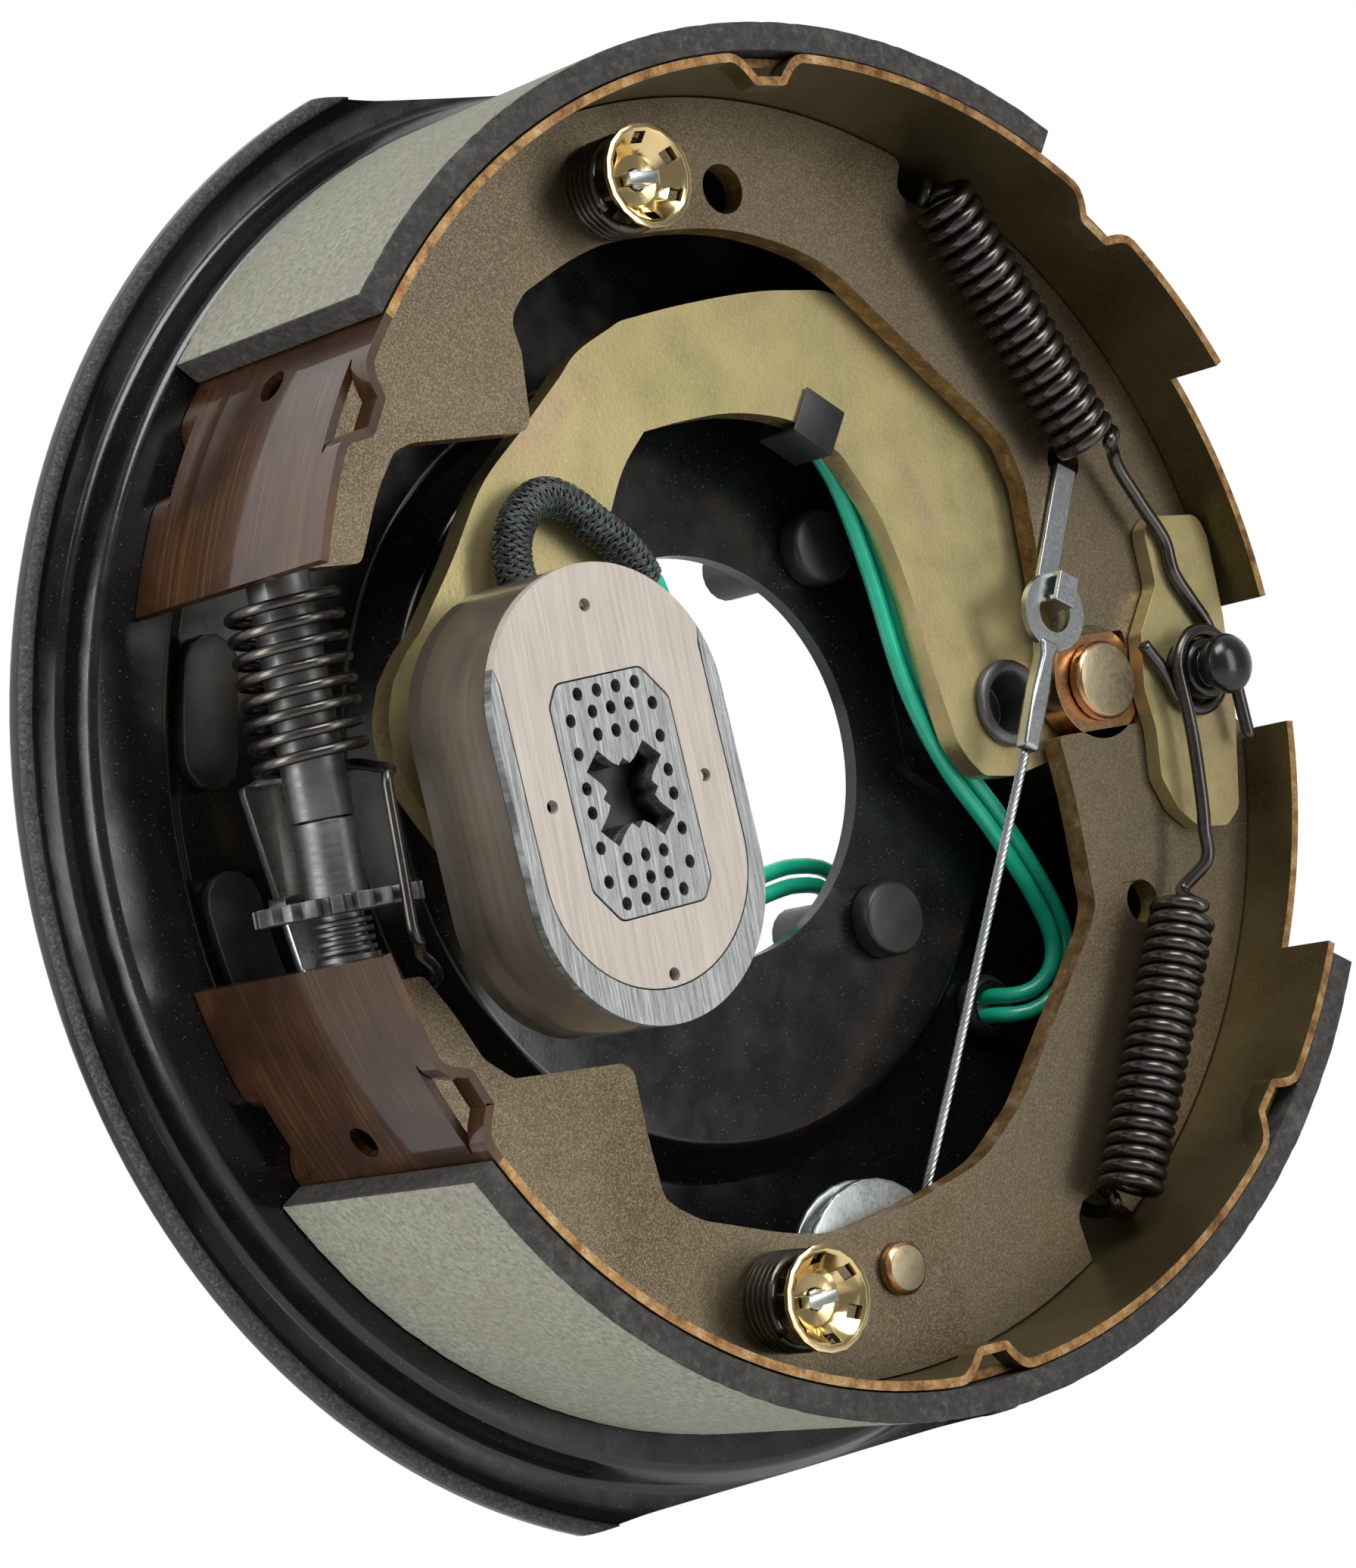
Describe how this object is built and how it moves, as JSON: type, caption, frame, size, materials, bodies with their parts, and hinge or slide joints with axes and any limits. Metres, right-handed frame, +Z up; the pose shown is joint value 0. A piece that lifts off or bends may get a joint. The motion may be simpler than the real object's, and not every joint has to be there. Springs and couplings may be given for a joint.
{
  "type": "electric drum brake",
  "caption": "Self-adjusting electric trailer drum brake: dished backing plate, two lined shoes, magnet on a swinging lever arm, return springs and a star-wheel adjuster.",
  "frame": {"origin": "centre of the hub hole, on the rear mounting face of the backing plate", "axes": "+Y out of the mounting face towards the axle, -Y towards the wheel, +X from the hub hole to the anchor post, +Z up"},
  "size_m": [0.2884, 0.0826, 0.2666],
  "materials": {
    "black_paint": "gloss black paint",
    "black_steel": "black oxide",
    "olive_zinc": "olive chromated zinc",
    "lining": "moulded friction lining",
    "yellow_zinc": "pale yellow zinc",
    "gold_zinc": "gold zinc",
    "bright_zinc": "bright zinc",
    "spring_steel": "dark spring steel",
    "grey_steel": "plain steel",
    "smoky_resin": "smoky resin",
    "friction_pad": "friction pad",
    "ground_steel": "ground steel",
    "rubber": "black rubber",
    "braid": "braided sleeve",
    "green_lead": "green insulation"
  },
  "bodies": {
    "plate": {"backing_plate": "black_paint", "mounting_stud_1": "black_steel", "mounting_stud_2": "black_steel", "mounting_stud_3": "black_steel", "mounting_stud_4": "black_steel", "slot_plug_1": "rubber", "slot_plug_2": "rubber", "anchor_post": "black_steel", "anchor_guide_plate": "yellow_zinc", "arm_pivot_stud": "grey_steel", "grommet": "rubber", "lead_tail_1": "green_lead", "lead_tail_2": "green_lead", "lead_coil": "green_lead", "upper_hold_down_pin": "bright_zinc", "upper_hold_down_cup": "gold_zinc", "upper_hold_down_spring": "spring_steel", "lower_hold_down_pin": "bright_zinc", "lower_hold_down_cup": "gold_zinc", "lower_hold_down_spring": "spring_steel", "upper_return_spring": "spring_steel", "lower_return_spring": "spring_steel"},
    "upper_shoe": {"upper_shoe_web": "olive_zinc", "upper_shoe_table": "olive_zinc", "upper_lining": "lining", "cable_link": "bright_zinc", "cable_end": "bright_zinc"},
    "lower_shoe": {"lower_shoe_web": "olive_zinc", "lower_shoe_table": "olive_zinc", "lower_lining": "lining", "cable_guide": "bright_zinc", "cable_guide_rivet": "gold_zinc", "self_adjust_lever_pin": "grey_steel", "adjuster_tube": "grey_steel", "adjuster_nut": "grey_steel", "adjuster_spring": "spring_steel", "adjuster_cable": "bright_zinc"},
    "star": {"star_screw": "grey_steel"},
    "adjust_lever": {"self_adjust_lever": "bright_zinc"},
    "arm": {"lever_arm": "yellow_zinc", "drive_block": "gold_zinc", "drive_pin": "gold_zinc", "magnet_stud": "grey_steel", "magnet_spring": "spring_steel", "wire_clip": "black_steel", "lead_1": "green_lead", "lead_2": "green_lead", "lead_sleeve": "braid"},
    "magnet": {"magnet_case": "smoky_resin", "magnet_pole": "ground_steel", "magnet_friction_pad": "friction_pad", "magnet_core": "ground_steel"}
  },
  "joints": [
    {"name": "upper_shoe_opens", "type": "hinge", "parent": "plate", "child": "upper_shoe", "pos_m": [0.102, 0, 0], "axis": [0, 1, 0], "range_deg": [0, 0.8], "stiffness_Nm_per_rad": 80, "springref_deg": -1.72, "deforming": ["upper_return_spring", "adjuster_spring", "adjuster_cable", "upper_hold_down_spring"]},
    {"name": "lower_shoe_opens", "type": "hinge", "parent": "plate", "child": "lower_shoe", "pos_m": [0.102, 0, 0], "axis": [0, -1, 0], "range_deg": [0, 0.8], "stiffness_Nm_per_rad": 120, "springref_deg": -1.72, "deforming": ["lower_return_spring", "adjuster_spring", "adjuster_cable", "lower_hold_down_spring"]},
    {"name": "star_screw_turn", "type": "hinge", "parent": "lower_shoe", "child": "star", "pos_m": [-0.1057, -0.0278, -0.0158], "axis": [0, 0, 1], "range_deg": [-180, 180]},
    {"name": "adjust_lever_turn", "type": "hinge", "parent": "lower_shoe", "child": "adjust_lever", "pos_m": [-0.082, -0.0118, -0.059], "axis": [0, 1, 0], "range_deg": [0, 5], "stiffness_Nm_per_rad": 0.6, "springref_deg": -14.32, "deforming": ["adjuster_cable"]},
    {"name": "arm_swing", "type": "hinge", "parent": "plate", "child": "arm", "pos_m": [0.0615, -0.0212, 0], "axis": [0, 1, 0], "range_deg": [-1.5, 1.5], "deforming": ["lead_1", "lead_2"]},
    {"name": "magnet_press", "type": "slide", "parent": "arm", "child": "magnet", "axis": [0, 1, 0], "range_m": [0, 0.006], "stiffness_N_per_m": 1500, "springref_m": -0.006, "deforming": ["magnet_spring", "lead_sleeve"]}
  ]
}
